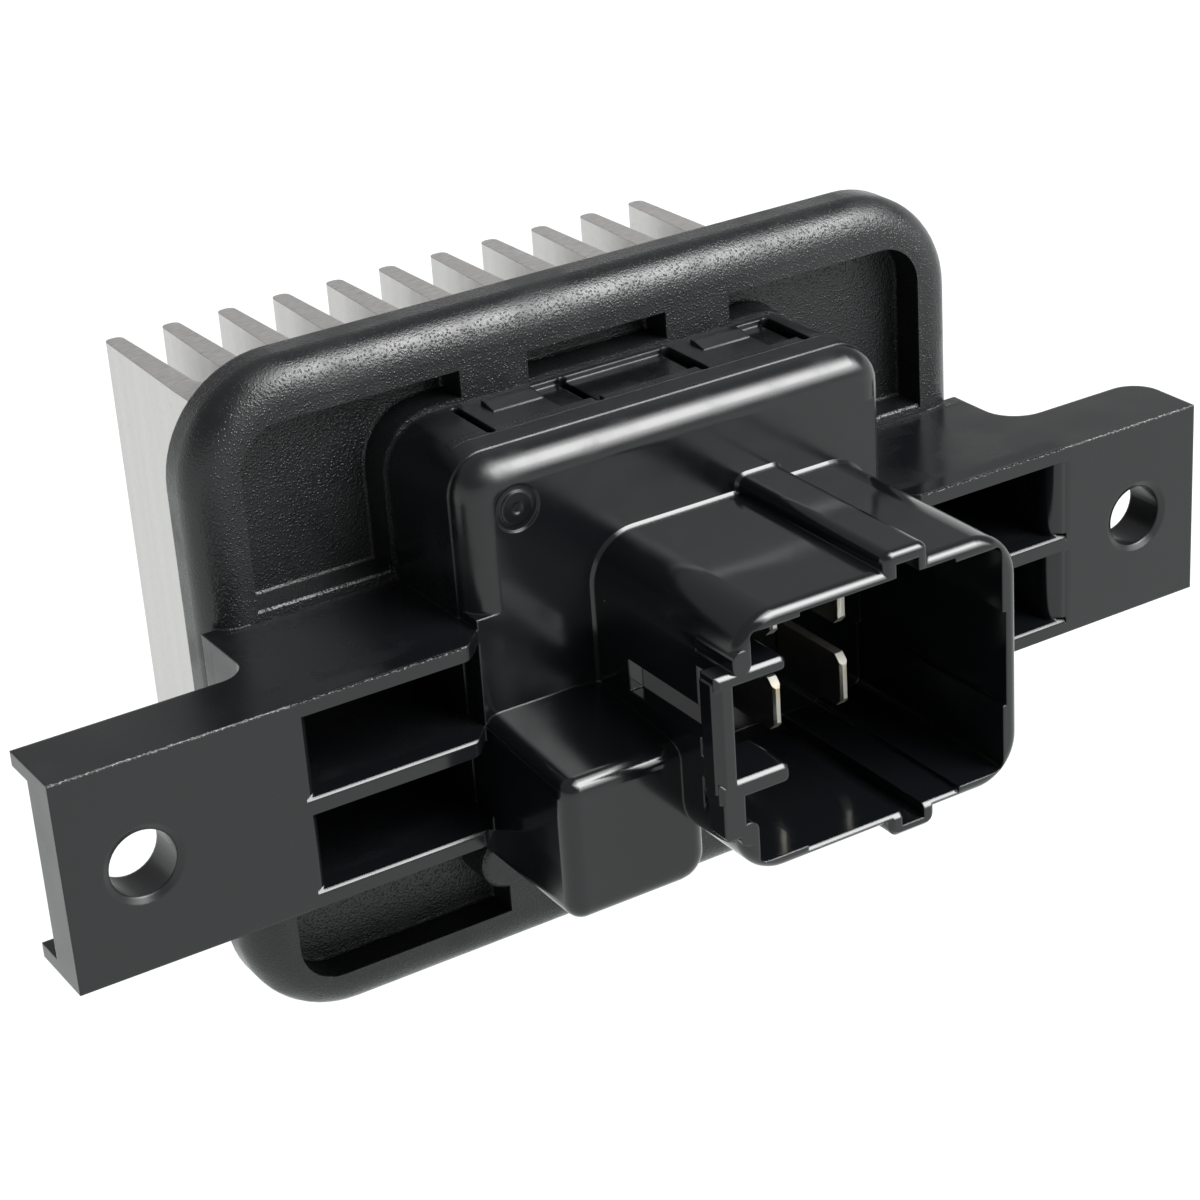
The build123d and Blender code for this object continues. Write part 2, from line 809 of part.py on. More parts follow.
def make_legs():
    """Three flat legs that leave the body downwards and bend into the board."""
    legs = Part()
    start = transistor_z - transistor_tall / 2
    middle = pad_front - leg_height
    end = board_front - 1.0
    path = make_face(
        Polyline(
            (middle - leg_thick / 2, start),
            (middle - leg_thick / 2, leg_z() + leg_thick / 2),
            (end, leg_z() + leg_thick / 2),
            (end, leg_z() - leg_thick / 2),
            (middle + leg_thick / 2, leg_z() - leg_thick / 2),
            (middle + leg_thick / 2, start),
            close=True,
        )
    )
    for x in leg_places():
        legs += extrude(Plane.YZ.offset(x - leg_width / 2) * path, amount=leg_width)
    return legs


def make_pad():
    """The insulating pad between the transistor and the heat sink."""
    outline = Pos(transistor_x, transistor_z) * Rectangle(transistor_width + 1, transistor_tall + 1)
    pad = slab(outline, pad_front, sink_front)
    return pad - bar(transistor_x, screw_z(), transistor_hole / 2, pad_front - 1, sink_front + 1)


def make_washer():
    """The spring washer under the screw head, split at one place."""
    back = transistor_front
    ring = bar(transistor_x, screw_z(), washer_radius, back - washer_thick, back)
    ring -= bar(transistor_x, screw_z(), screw_radius + hole_clear, back - washer_thick - 1, back + 1)
    gap = brick(
        transistor_x,
        transistor_x + washer_radius + 1,
        back - washer_thick - 1,
        back + 1,
        screw_z() - 0.3,
        screw_z() + 0.3,
    )
    return ring - gap


def make_screw():
    """The pan-head screw that clamps the transistor, with a cross recess."""
    seat = transistor_front - washer_thick
    head = bar(transistor_x, screw_z(), screw_head, seat - screw_head_rise, seat)
    head = chamfer(head.faces().sort_by(Axis.Y)[0].edges(), 0.6)
    for turn in (0, 90):
        slot = Pos(transistor_x, screw_z()) * Rot(0, 0, turn) * Rectangle(2.6, 0.6)
        head -= slab(slot, seat - screw_head_rise - 1, seat - screw_head_rise + 1.0)
    return head + bar(transistor_x, screw_z(), screw_radius, seat - 0.1, sink_front + screw_bite)


def capacitor_leads_z():
    """Heights of the capacitor's two leads at the board."""
    low = capacitor_z - capacitor_tall / 2
    return [low - capacitor_far_lead, low - capacitor_near_lead]


def capacitor_axis_y():
    """Depth of the capacitor's axis, lying against the back of the board."""
    return board_back + capacitor_radius


def make_capacitor():
    """The can, lying on the board, with its two wire leads turned into the board."""
    low = capacitor_z - capacitor_tall / 2
    axis = capacitor_axis_y()
    can = extrude(Pos(capacitor_x, axis, low) * Circle(capacitor_radius), amount=capacitor_tall)
    can = chamfer(can.edges().group_by(Axis.Z)[-1], 0.5)
    groove = extrude(Pos(capacitor_x, axis, low + 1.0) * Circle(capacitor_radius + 1), amount=0.5)
    groove -= extrude(Pos(capacitor_x, axis, low + 1.0) * Circle(capacitor_radius - 0.35), amount=0.5)
    can -= groove
    for z, y in zip(capacitor_leads_z(), (axis + 0.9, axis - 0.9)):
        foot = z - capacitor_lead / 2
        can += extrude(Pos(capacitor_x, y, foot) * Circle(capacitor_lead * 0.85), amount=low + 0.2 - foot)
        can += bar(capacitor_x, z, capacitor_lead, board_front - 0.9, y + capacitor_lead / 2)
    return can


def make_shunt():
    """The flat current-sensing strip, arched between two feet on the board."""
    profile = make_face(
        Polyline(
            (-3.2, 0),
            (-1.9, 0),
            (-1.4, 0.6),
            (1.4, 0.6),
            (1.9, 0),
            (3.2, 0),
            (3.2, 0.5),
            (2.1, 0.5),
            (1.6, 1.1),
            (-1.6, 1.1),
            (-2.1, 0.5),
            (-3.2, 0.5),
            close=True,
        )
    )
    strip = extrude(profile, amount=3.0)
    return Pos(shunt_x, board_back, shunt_z - 1.5) * strip


def make_control_chip():
    """An eight-leg chip on the front of the board."""
    back = board_front
    body = brick(chip_x - 2.45, chip_x + 2.45, back - 1.6, back - 0.15, chip_z - 1.95, chip_z + 1.95)
    body = chamfer(body.faces().sort_by(Axis.Y)[0].edges(), 0.25)
    for i in range(4):
        x = chip_x + (i - 1.5) * 1.27
        for side in (-1, 1):
            foot = Polyline(
                (back - 0.8, side * 1.9),
                (back - 0.8, side * 2.5),
                (back, side * 2.7),
                (back, side * 3.1),
                (back - 0.2, side * 3.1),
                (back - 0.2, side * 2.85),
                (back - 1.0, side * 2.65),
                (back - 1.0, side * 1.9),
                close=True,
            )
            leg = extrude(Plane.YZ.offset(x - 0.2) * make_face(foot), amount=0.4)
            body += Pos(0, 0, chip_z) * leg
    return body


def make_diode():
    """The flat moulded diode on the back of the board."""
    back = board_back
    body = brick(diode_x - 2.3, diode_x + 2.3, back + 0.1, back + 2.3, diode_z - 1.6, diode_z + 1.6)
    body = chamfer(body.faces().sort_by(Axis.Y)[-1].edges(), 0.3)
    for side in (-1, 1):
        x = diode_x + side * 2.3
        body += brick(x - 0.5, x + 0.5, back, back + 1.2, diode_z - 1.0, diode_z + 1.0)
    return body


def make_chip_row(places, rise):
    """Small end-capped chips that stand on the front of the board."""
    row = Part()
    half = chip_length / 2
    for x, z in places:
        side = chip_width / 2
        row += brick(x - half, x + half, board_front - rise, board_front, z - side, z + side)
    return row


def chip_resistors():
    """Six resistors on the front of the board, above and below the control chip."""
    steps = [chip_row_pitch * i for i in range(3)]
    places = [(chip_x + chip_row_shift + step, chip_z + chip_row_up) for step in steps]
    places += [(chip_x - chip_row_pitch + step, chip_z - chip_row_down) for step in steps]
    return make_chip_row(places, resistor_rise)


def chip_capacitors():
    """Four ceramic capacitors on the front of the board."""
    left = capacitor_x - chip_row_pitch / 2
    places = [(left + chip_row_pitch * i, capacitor_z + chip_row_pitch * j) for i in (0, 1) for j in (0, 1)]
    return make_chip_row(places, ceramic_rise)


def fuse_leads_x():
    """The X of the thermal fuse's two leads."""
    return [fuse_x - fuse_length / 2 - 1.6, fuse_x + fuse_length / 2 + 1.6]


def make_fuse():
    """The thermal fuse: a small can lying on the board, its leads bent into it."""
    y = board_back + fuse_radius
    can = extrude(
        Plane.YZ.offset(fuse_x - fuse_length / 2) * Pos(y, fuse_z) * Circle(fuse_radius), amount=fuse_length
    )
    can = chamfer(can.edges().filter_by(GeomType.CIRCLE), 0.3)
    for x, side in zip(fuse_leads_x(), (-1, 1)):
        start = fuse_x + side * (fuse_length / 2 - 0.3)
        end = x + side * capacitor_lead
        wire = Plane.YZ.offset(min(start, end)) * Pos(y, fuse_z) * Circle(capacitor_lead)
        can += extrude(wire, amount=abs(end - start))
        can += bar(x, fuse_z, capacitor_lead, board_front - 0.9, y)
    return can


def make_solder():
    """The solder cones: round the blade tails behind the board, round legs and leads in front of it."""

    def cone(x, z, radius, seat, away):
        outline = RegularPolygon(radius, 8)
        plane = Plane(origin=(x, seat, z), x_dir=(1, 0, 0), z_dir=(0, away, 0))
        return extrude(plane * outline, amount=solder_rise, taper=38)

    joints = Part()
    for x, z in blade_places():
        half_x = blade_thick / 2
        half_z = blade_tail / 2
        hole = brick(x - half_x, x + half_x, board_back - 1, board_back + 3, z - half_z, z + half_z)
        joints += cone(x, z, solder_radius + 0.3, board_back, 1) - hole
    for x in leg_places():
        hole = brick(
            x - leg_width / 2,
            x + leg_width / 2,
            board_front - 3,
            board_front + 1,
            leg_z() - leg_thick / 2,
            leg_z() + leg_thick / 2,
        )
        joints += cone(x, leg_z(), solder_radius, board_front, -1) - hole
    wires = [(capacitor_x, z) for z in capacitor_leads_z()] + [(x, fuse_z) for x in fuse_leads_x()]
    for x, z in wires:
        hole = bar(x, z, capacitor_lead, board_front - 3, board_front + 1)
        joints += cone(x, z, wire_solder_radius, board_front, -1) - hole
    return joints


def build_all():
    """Every piece by its name."""
    places = blade_places()
    return {
        "housing": make_housing(),
        "heat_sink": make_heat_sink(),
        "bond_film": make_bond_film(),
        "terminal_battery": make_terminal(*places[2]),
        "terminal_motor": make_terminal(*places[3]),
        "terminal_control": make_terminal(*places[0]),
        "terminal_ground": make_terminal(*places[1]),
        "circuit_board": make_board(),
        "power_transistor": make_transistor(),
        "transistor_leads": make_legs(),
        "insulating_pad": make_pad(),
        "transistor_screw": make_screw(),
        "spring_washer": make_washer(),
        "filter_capacitor": make_capacitor(),
        "shunt_resistor": make_shunt(),
        "control_chip": make_control_chip(),
        "flyback_diode": make_diode(),
        "chip_resistors": chip_resistors(),
        "chip_capacitors": chip_capacitors(),
        "thermal_fuse": make_fuse(),
        "solder_joints": make_solder(),
    }


os.makedirs("parts", exist_ok=True)
for name, shape in build_all().items():
    export_step(shape, f"parts/{name}.step")
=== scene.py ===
# The looks of the blower motor resistor: finishes, mould and saw marks, a pale floor, soft light and the camera.
# Everything is in metres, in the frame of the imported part: X along the ears, Y towards the fins, Z up.
# Sizes and places whose names end in _mm are in millimetres.

import logging
from dataclasses import dataclass, field
from enum import Enum

import bpy
from mathutils import Matrix, Vector

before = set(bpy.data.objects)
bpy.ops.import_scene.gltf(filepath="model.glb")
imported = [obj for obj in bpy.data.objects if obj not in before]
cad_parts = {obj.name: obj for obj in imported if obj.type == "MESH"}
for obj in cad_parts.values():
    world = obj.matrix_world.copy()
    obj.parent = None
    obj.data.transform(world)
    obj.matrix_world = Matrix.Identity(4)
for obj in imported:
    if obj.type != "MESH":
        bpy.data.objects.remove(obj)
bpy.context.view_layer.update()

logging.basicConfig(level=logging.INFO, format="%(message)s")
log = logging.getLogger("scene")

MM = 0.001
MASK_EDGE_MM = 0.02
BEVEL_SAMPLES = 6

Colour = tuple[float, float, float]
Span = tuple[float, float]


class Maths(Enum):
    """The arithmetic that the finishes use."""

    ADD = "ADD"
    SUBTRACT = "SUBTRACT"
    MULTIPLY = "MULTIPLY"
    POWER = "POWER"
    ABSOLUTE = "ABSOLUTE"
    MINIMUM = "MINIMUM"
    MAXIMUM = "MAXIMUM"


@dataclass(frozen=True)
class Signal:
    """A number that varies over a surface: one output socket of a shader tree, with arithmetic on it."""

    shader: "Shader"
    socket: bpy.types.NodeSocket

    def _maths(self, operation: Maths, *values: "Signal | float") -> "Signal":
        """Adds one Math node.

        Args:
            operation: What it works out.
            values: Its inputs in order, signals or plain numbers.

        Returns:
            The node's result.
        """
        inputs = dict(enumerate(values))
        return self.shader.node("ShaderNodeMath", {"operation": operation.value}, inputs)

    def __add__(self, other: "Signal | float") -> "Signal":
        """The sum."""
        return self._maths(Maths.ADD, self, other)

    def __radd__(self, other: float) -> "Signal":
        """The sum with a number on the left."""
        return self._maths(Maths.ADD, other, self)

    def __sub__(self, other: "Signal | float") -> "Signal":
        """The difference."""
        return self._maths(Maths.SUBTRACT, self, other)

    def __rsub__(self, other: float) -> "Signal":
        """A number less the signal, as in 1 - mask."""
        return self._maths(Maths.SUBTRACT, other, self)

    def __mul__(self, other: "Signal | float") -> "Signal":
        """The product."""
        return self._maths(Maths.MULTIPLY, self, other)

    def __rmul__(self, other: float) -> "Signal":
        """The product with a number on the left."""
        return self._maths(Maths.MULTIPLY, other, self)

    def __pow__(self, power: float) -> "Signal":
        """The signal raised to a power."""
        return self._maths(Maths.POWER, self, power)

    def __abs__(self) -> "Signal":
        """The size of the signal without its sign."""
        return self._maths(Maths.ABSOLUTE, self)

    def at_most(self, other: "Signal | float") -> "Signal":
        """The smaller of the two."""
        return self._maths(Maths.MINIMUM, self, other)

    def at_least(self, other: "Signal | float") -> "Signal":
        """The larger of the two."""
        return self._maths(Maths.MAXIMUM, self, other)

    def step(self, low: float, high: float) -> "Signal":
        """A smooth step.

        Args:
            low: Where the result is 0.
            high: Where the result is 1; it may be the smaller of the two, which turns the step round.

        Returns:
            A signal from 0 to 1.
        """
        inputs = {"Value": self, "From Min": low, "From Max": high}
        return self.shader.node("ShaderNodeMapRange", {"interpolation_type": "SMOOTHSTEP"}, inputs)

    def step_mm(self, low_mm: float, high_mm: float) -> "Signal":
        """A smooth step between two places given in millimetres."""
        return self.step(low_mm * MM, high_mm * MM)

    def between(self, low_mm: float, high_mm: float) -> "Signal":
        """1 between two places given in millimetres and 0 outside them, with narrow soft edges."""
        rise = self.step_mm(low_mm - MASK_EDGE_MM, low_mm + MASK_EDGE_MM)
        return rise * self.step_mm(high_mm + MASK_EDGE_MM, high_mm - MASK_EDGE_MM)


class Shader:
    """A material's node tree with one Principled shader, and the one method that adds nodes to it."""

    def __init__(self, name: str) -> None:
        """Makes an empty material.

        Args:
            name: The material's name.
        """
        self.material = bpy.data.materials.new(name)
        self.material.use_nodes = True
        self.tree = self.material.node_tree
        self.tree.nodes.clear()
        self.surface = self.tree.nodes.new("ShaderNodeBsdfPrincipled")
        out = self.tree.nodes.new("ShaderNodeOutputMaterial")
        self.tree.links.new(self.surface.outputs[0], out.inputs[0])
        self.place = self.node("ShaderNodeTexCoord", {}, {}, "Object")
        separate = self.tree.nodes.new("ShaderNodeSeparateXYZ")
        self.tree.links.new(self.place.socket, separate.inputs[0])
        self.x, self.y, self.z = (Signal(self, socket) for socket in separate.outputs)

    def node(self, kind: str, settings: dict, inputs: dict, output: str | int = 0) -> Signal:
        """Adds one node.

        Args:
            kind: The node's type.
            settings: Its own settings, set before the sockets.
            inputs: Values or signals by the socket's name or number.
            output: Which output is returned.

        Returns:
            That output.
        """
        made = self.tree.nodes.new(kind)
        for key, value in settings.items():
            setattr(made, key, value)
        for key, value in inputs.items():
            if isinstance(value, Signal):
                self.tree.links.new(value.socket, made.inputs[key])
            else:
                made.inputs[key].default_value = value
        return Signal(self, made.outputs[output])

    def noise(self, size_mm: float, detail: float = 2.0, stretch: tuple = (1, 1, 1)) -> Signal:
        """Noise from 0 to 1 whose lumps are about size_mm across, drawn out along an axis by stretch."""
        scale = tuple(1.0 / (size_mm * MM * times) for times in stretch)
        spread = self.node("ShaderNodeVectorMath", {"operation": "MULTIPLY"}, {0: self.place, 1: scale})
        return self.node("ShaderNodeTexNoise", {}, {"Vector": spread, "Scale": 1.0, "Detail": detail})

    def cells(self, size_mm: float) -> Signal:
        """Distance to the nearest point of a random grid of cells about size_mm across, in cells."""
        inputs = {"Vector": self.place, "Scale": 1.0 / (size_mm * MM)}
        return self.node("ShaderNodeTexVoronoi", {}, inputs, "Distance")

    def mix(self, mask: Signal, low: Colour, high: Colour) -> Signal:
        """A colour from low where the mask is 0 to high where it is 1."""
        inputs = {0: mask, 6: (*low, 1), 7: (*high, 1)}
        return self.node("ShaderNodeMix", {"data_type": "RGBA"}, inputs, 2)

    def turned(self, mask: Signal, low: Signal, high: Signal) -> Signal:
        """A normal from low where the mask is 0 to high where it is 1."""
        return self.node("ShaderNodeMix", {"data_type": "VECTOR"}, {0: mask, 4: low, 5: high}, 1)

    def facing_x(self) -> Signal:
        """How squarely the surface faces along X, from 0 to 1."""
        normal = self.node("ShaderNodeNewGeometry", {}, {}, "Normal")
        return abs(self.node("ShaderNodeSeparateXYZ", {}, {0: normal}))

    def rounded(self, radius_mm: float) -> Signal:
        """The normal of the surface with its sharp edges rounded to a radius."""
        return self.node("ShaderNodeBevel", {"samples": BEVEL_SAMPLES}, {"Radius": radius_mm * MM})

    def relief(self, height: Signal, depth_mm: float, under: Signal) -> Signal:
        """A normal bent by a height.

        Args:
            height: The relief.
            depth_mm: How deep it is between 0 and 1.
            under: The normal below the relief.

        Returns:
            The normal for the surface.
        """
        inputs = {"Height": height, "Distance": depth_mm * MM, "Strength": 1.0, "Normal": under}
        return self.node("ShaderNodeBump", {}, inputs)

    def set(self, **values: "Signal | float | tuple") -> None:
        """Sets the Principled shader's sockets, named with underscores for spaces."""
        for key, value in values.items():
            socket = self.surface.inputs[key.replace("_", " ")]
            if isinstance(value, Signal):
                self.tree.links.new(value.socket, socket)
            else:
                socket.default_value = value

    def dress(self, *objects: bpy.types.Object) -> None:
        """Puts the material on every slot of the objects."""
        for obj in objects:
            if not obj.material_slots:
                obj.data.materials.append(self.material)
            for each in obj.material_slots:
                each.material = self.material


@dataclass(frozen=True)
class Places:
    """Where the moulding's regions lie: masks from 0 to 1, and the way in from the flange's outline in metres."""

    inward: Signal
    ears: Signal
    flange: Signal
    nose: Signal
    roof: Signal
    grained: Signal
    box: Signal
    lips: Signal


@dataclass(frozen=True)
class MouldedBlack:
    """Black moulded plastic: polished plug, duller box and ears, and a sparkling spark-eroded grain on the flange.

    The first fields are colours and gloss, the next ones the sizes and depths of the marks, and the last ones the
    places of the moulding's regions, as the solid has them.
    """

    colour: Colour = (0.0030, 0.0036, 0.0042)
    # The pale below colours the dust specks, and the painted highlight with some wear along the ears' top front
    # edge.
    dust_wear_and_glint: Colour = (0.20, 0.205, 0.205)
    density: float = 1.48
    polished: float = 0.11
    satin: float = 0.24
    grained: float = 0.19
    smear_dulled: float = 0.05
    box_dulled: float = 0.17
    box_least_dulled: float = 0.6
    roof_dulled: float = 0.14
    lip_dulled: float = 0.16
    edge_glint_dulled: float = 0.3
    dust_share: float = 0.1

    pimple_mm: float = 0.24
    pimple_sides: Span = (0.46, 0.1)
    pimple_depth_mm: float = 0.036
    grain_mm: float = 0.20
    grain_depth_mm: float = 0.066
    grain_gloss: Span = (0.7, 0.6)
    fine_mm: float = 0.09
    fine_depth_mm: float = 0.0012
    roof_depth_mm: float = 0.003
    sink_mm: float = 9.0
    sink_depth_mm: float = 0.08
    flow_mm: float = 0.5
    flow_stretch: tuple = (1, 1, 16)
    flow_depth_mm: float = 0.002
    smear_mm: float = 5.0
    smear_share: Span = (0.42, 0.75)
    dust_mm: Span = (0.9, 0.12)
    dust_share_wide: Span = (0.68, 0.8)
    dust_share_fine: Span = (0.6, 0.7)
    # The broken line along the ears' top front edge: a painted highlight, with some wear.
    edge_glint_mm: float = 0.13
    edge_glint_stretch: tuple = (2, 1, 1)
    edge_glint_share: Span = (0.50, 0.66)
    edge_glint_line_mm: Span = (0.20, 0.08)
    edge_mm: float = 0.24

    middle_mm: float = 2.5
    half_wide_mm: float = 37.0
    half_tall_mm: float = 29.4
    corner_mm: float = 9.5
    nose_mm: Span = (3.0, 1.2)
    outer_mm: Span = (1.7, 0.7)
    outer_smooth: float = 0.6
    inside_mm: Span = (3.3, 3.5)
    flange_from_mm: Span = (13.7, 14.1)
    ledge_mm: Span = (14.3, 14.56)
    pocket_floor_mm: Span = (17.64, 18.2)
    ears_from_mm: Span = (36.5, 38.5)
    ear_top_mm: float = 8.9
    pocket_across_mm: Span = (20.6, 37.4)
    pocket_edge_mm: Span = (-0.1, 0.17)
    pocket_lip_mm: Span = (0.06, 0.45)
    box_from_mm: Span = (1.6, 2.4)
    roof_height_mm: Span = (21.9, 22.1)
    roof_from_mm: Span = (5.0, 5.6)
    band_mm: Span = (7.1, 8.2)
    plug_middle_mm: Span = (6.45, 2.55)
    plug_reach_mm: Span = (15.4, 15.2)
    plug_root_mm: Span = (1.66, 2.4)

    def inward(self, s: Shader) -> Signal:
        """How far a point lies inside the flange's outline, in metres.

        Args:
            s: The shader.

        Returns:
            corner - length(max(q, 0)) - min(max(q.x, q.z), 0), where q is the offset from the middle
            less the straight half sides: the signed distance of a rounded rectangle, turned round.
        """
        qx = abs(s.x - self.middle_mm * MM) - (self.half_wide_mm - self.corner_mm) * MM
        qz = abs(s.z) - (self.half_tall_mm - self.corner_mm) * MM
        beyond = (qx.at_least(0.0) ** 2 + qz.at_least(0.0) ** 2) ** 0.5
        return self.corner_mm * MM - beyond - qx.at_least(qz).at_most(0.0)

    def places(self, s: Shader) -> Places:
        """Works out the regions.

        Args:
            s: The shader.

        Returns:
            Their masks. The grain covers the flange, less on its outer side, and the roof's front band.
        """
        aside = abs(s.x - self.middle_mm * MM)
        inward = self.inward(s)
        behind = s.y.step_mm(*self.flange_from_mm)
        ears = aside.step_mm(*self.ears_from_mm)
        flange = behind * (1 - ears)
        roof = s.z.step_mm(*self.roof_height_mm) * (1 - behind) * s.y.step_mm(*self.roof_from_mm)
        band = roof * s.y.between(*self.band_mm)
        outer = inward.step_mm(*self.outer_mm)
        return Places(
            inward=inward,
            ears=ears,
            flange=flange,
            nose=flange * inward.step_mm(*self.nose_mm),
            roof=roof,
            grained=(flange * (1 - outer * self.outer_smooth) + band).at_most(1.0),
            box=s.y.step_mm(*self.box_from_mm) * (1 - ears),
            lips=s.y.between(*self.pocket_lip_mm) * aside.between(*self.pocket_across_mm),
        )

    def edges(self, s: Shader, at: Places) -> Signal:
        """The normal with its edges softened and its small 45 degree slopes narrowed to thin lines.

        Args:
            s: The shader.
            at: The regions.

        Returns:
            The normal. Half of each slope takes the normal of the face that looks at -Y: at the plug's root,
            in the ears' pockets, at the ledges and round the floors of the flange's pockets.
        """
        middle_x, middle_z = self.plug_middle_mm
        across = abs(s.x - middle_x * MM).at_least(abs(s.z - middle_z * MM))
        root = s.y.between(*self.plug_root_mm) * across.step_mm(*self.plug_reach_mm)
        aside = abs(s.x - self.middle_mm * MM)
        pockets = s.y.between(*self.pocket_edge_mm) * aside.between(*self.pocket_across_mm)
        inside = (1 - at.ears) * at.inward.step_mm(*self.inside_mm)
        ledges = s.y.between(*self.ledge_mm) * inside
        floors = s.y.between(*self.pocket_floor_mm) * inside
        front = s.node("ShaderNodeCombineXYZ", {}, {"Y": -1.0})
        return s.turned((root + pockets + ledges + floors).at_most(1.0), s.rounded(self.edge_mm), front)

    def height(self, s: Shader, at: Places, grain: Signal) -> Signal:
        """The relief of grain, tool marks, sink marks and flow lines.

        Args:
            s: The shader.
            at: The regions.
            grain: The coarser grain.

        Returns:
            The height in millimetres.
        """
        pimples = s.cells(self.pimple_mm).step(*self.pimple_sides)
        fine = s.noise(self.fine_mm, 2.0)
        sinks = s.noise(self.sink_mm, 1.0)
        flow = s.noise(self.flow_mm, 3.0, self.flow_stretch)
        height = (pimples * self.pimple_depth_mm + grain * self.grain_depth_mm) * at.grained
        height = height + fine * (self.fine_depth_mm + self.roof_depth_mm * at.roof)
        return height + sinks * self.sink_depth_mm + flow * (at.ears + at.nose) * self.flow_depth_mm

    def roughness(self, s: Shader, at: Places, grain: Signal) -> Signal:
        """How rough each region is, without the painted highlight and wear along the ears' top front edge.

        Args:
            s: The shader.
            at: The regions.
            grain: The coarser grain.

        Returns:
            The roughness: smeared polish, satin ears, a duller box and roof, and the grain's own gloss.
        """
        smears = s.noise(self.smear_mm, 4.0).step(*self.smear_share)
        least, more = self.grain_gloss
        rough = self.polished + smears * self.smear_dulled + at.ears * (self.satin - self.polished)
        rough = rough + at.box * (self.box_least_dulled + smears) * self.box_dulled + at.roof * self.roof_dulled
        rough = rough + at.grained * (self.grained - self.polished) * (least + grain * more)
        return rough + at.lips * self.lip_dulled

    def edge_glint_and_wear(self, s: Shader) -> Signal:
        """A broken pale line along the ears' top front edge: a painted edge highlight, with some worn specks."""
        ridge = (abs(s.y) + abs(s.z - self.ear_top_mm * MM)).step_mm(*self.edge_glint_line_mm)
        return ridge * s.noise(self.edge_glint_mm, 2.0, self.edge_glint_stretch).step(*self.edge_glint_share)

    def dust(self, s: Shader) -> Signal:
        """Specks of dust in loose clouds."""
        wide_mm, fine_mm = self.dust_mm
        clouds = s.noise(wide_mm, 5.0).step(*self.dust_share_wide)
        return clouds * s.noise(fine_mm, 2.0).step(*self.dust_share_fine)

    def shader(self) -> Shader:
        """Builds the material."""
        s = Shader("moulded_black")
        at = self.places(s)
        grain = s.noise(self.grain_mm, 3.0)
        edge_glint_and_wear = self.edge_glint_and_wear(s)
        # Dust specks and the painted edge highlight along the ears' top front edge pale the black.
        pale = (self.dust(s) * self.dust_share + edge_glint_and_wear).at_most(1.0)
        s.set(
            Base_Color=s.mix(pale, self.colour, self.dust_wear_and_glint),
            Roughness=self.roughness(s, at, grain) + edge_glint_and_wear * self.edge_glint_dulled,
            Normal=s.relief(self.height(s, at, grain), 1.0, self.edges(s, at)),
            IOR=self.density,
        )
        return s


@dataclass(frozen=True)
class ExtrudedAluminium:
    """Drawn aluminium: fine lines along Z on the fins, and a duller sawn face with short marks at each end."""

    colour: Colour = (0.62, 0.605, 0.60)
    dull: Colour = (0.24, 0.237, 0.23)
    rough: float = 0.38
    sawn_rough: float = 0.12
    band_rough: float = 0.08
    nick_rough: float = 0.1
    sawn_tone: Span = (0.85, 0.05)
    mottled_tone: float = 0.2
    band_tone: float = 0.1
    nick_tone: float = 0.25
    end_mm: Span = (25.95, 25.99)
    line_mm: float = 0.22
    line_stretch: tuple = (1, 1, 120)
    line_depth_mm: float = 0.010
    band_mm: float = 1.4
    band_stretch: tuple = (1, 1, 60)
    band_depth_mm: float = 0.006
    saw_mm: float = 0.20
    saw_stretch: tuple = (6, 1, 1)
    saw_depth_mm: float = 0.0168
    mottle_mm: float = 0.5
    mottle_depth_mm: float = 0.012
    nick_mm: float = 1.1
    nick_share: Span = (0.70, 0.74)
    nick_depth_mm: float = 0.01
    edge_mm: float = 0.15

    def shader(self) -> Shader:
        """Builds the material with its drawn lines, sawn ends and a few small nicks."""
        s = Shader("extruded_aluminium")
        end = abs(s.z).step_mm(*self.end_mm)
        side = 1 - end
        lines = s.noise(self.line_mm, 3.0, self.line_stretch)
        bands = s.noise(self.band_mm, 2.0, self.band_stretch)
        saw = s.noise(self.saw_mm, 3.0, self.saw_stretch)
        mottled = s.noise(self.mottle_mm, 4.0)
        nicks = s.noise(self.nick_mm, 3.0).step(*self.nick_share)
        sawn, clean = self.sawn_tone
        tone = end * (saw * sawn - clean) + mottled * self.mottled_tone
        tone = tone + bands * self.band_tone + nicks * self.nick_tone * side
        height = (lines * self.line_depth_mm + bands * self.band_depth_mm) * side
        height = height + (saw * self.saw_depth_mm + mottled * self.mottle_depth_mm) * end
        height = height - nicks * self.nick_depth_mm
        rough = self.rough + end * self.sawn_rough + bands * self.band_rough - nicks * self.nick_rough
        s.set(
            Base_Color=s.mix(tone, self.colour, self.dull),
            Metallic=1.0,
            Roughness=rough,
            Normal=s.relief(height, 1.0, s.rounded(self.edge_mm)),
        )
        return s


@dataclass(frozen=True)
class TinnedBrass:
    """Pale tin over brass, bare and yellow in random patches, rougher at the sheared edges, with rolling lines
    along the blade.
    """

    tin: Colour = (0.50, 0.49, 0.44)
    brass: Colour = (0.52, 0.42, 0.25)
    bare_share: Span = (0.5, 0.8)
    rough: float = 0.12
    patch_rough: float = 0.1
    sheared_rough: float = 0.34
    sheared_facing: Span = (0.7, 0.3)
    line_mm: float = 0.12
    line_stretch: tuple = (1, 40, 1)
    line_depth_mm: float = 0.004
    patch_mm: float = 1.2
    patch_depth_mm: float = 0.006
    edge_mm: float = 0.08

    def shader(self) -> Shader:
        """Builds the material: bright polished faces, and sheared edges that scatter more light."""
        s = Shader("tinned_brass")
        lines = s.noise(self.line_mm, 3.0, self.line_stretch)
        patches = s.noise(self.patch_mm, 3.0)
        sheared = s.facing_x().step(*self.sheared_facing)
        height = lines * self.line_depth_mm + patches * self.patch_depth_mm
        s.set(
            Base_Color=s.mix(patches.step(*self.bare_share), self.tin, self.brass),
            Metallic=1.0,
            Roughness=self.rough + patches * self.patch_rough + sheared * self.sheared_rough,
            Normal=s.relief(height, 1.0, s.rounded(self.edge_mm)),
        )
        return s


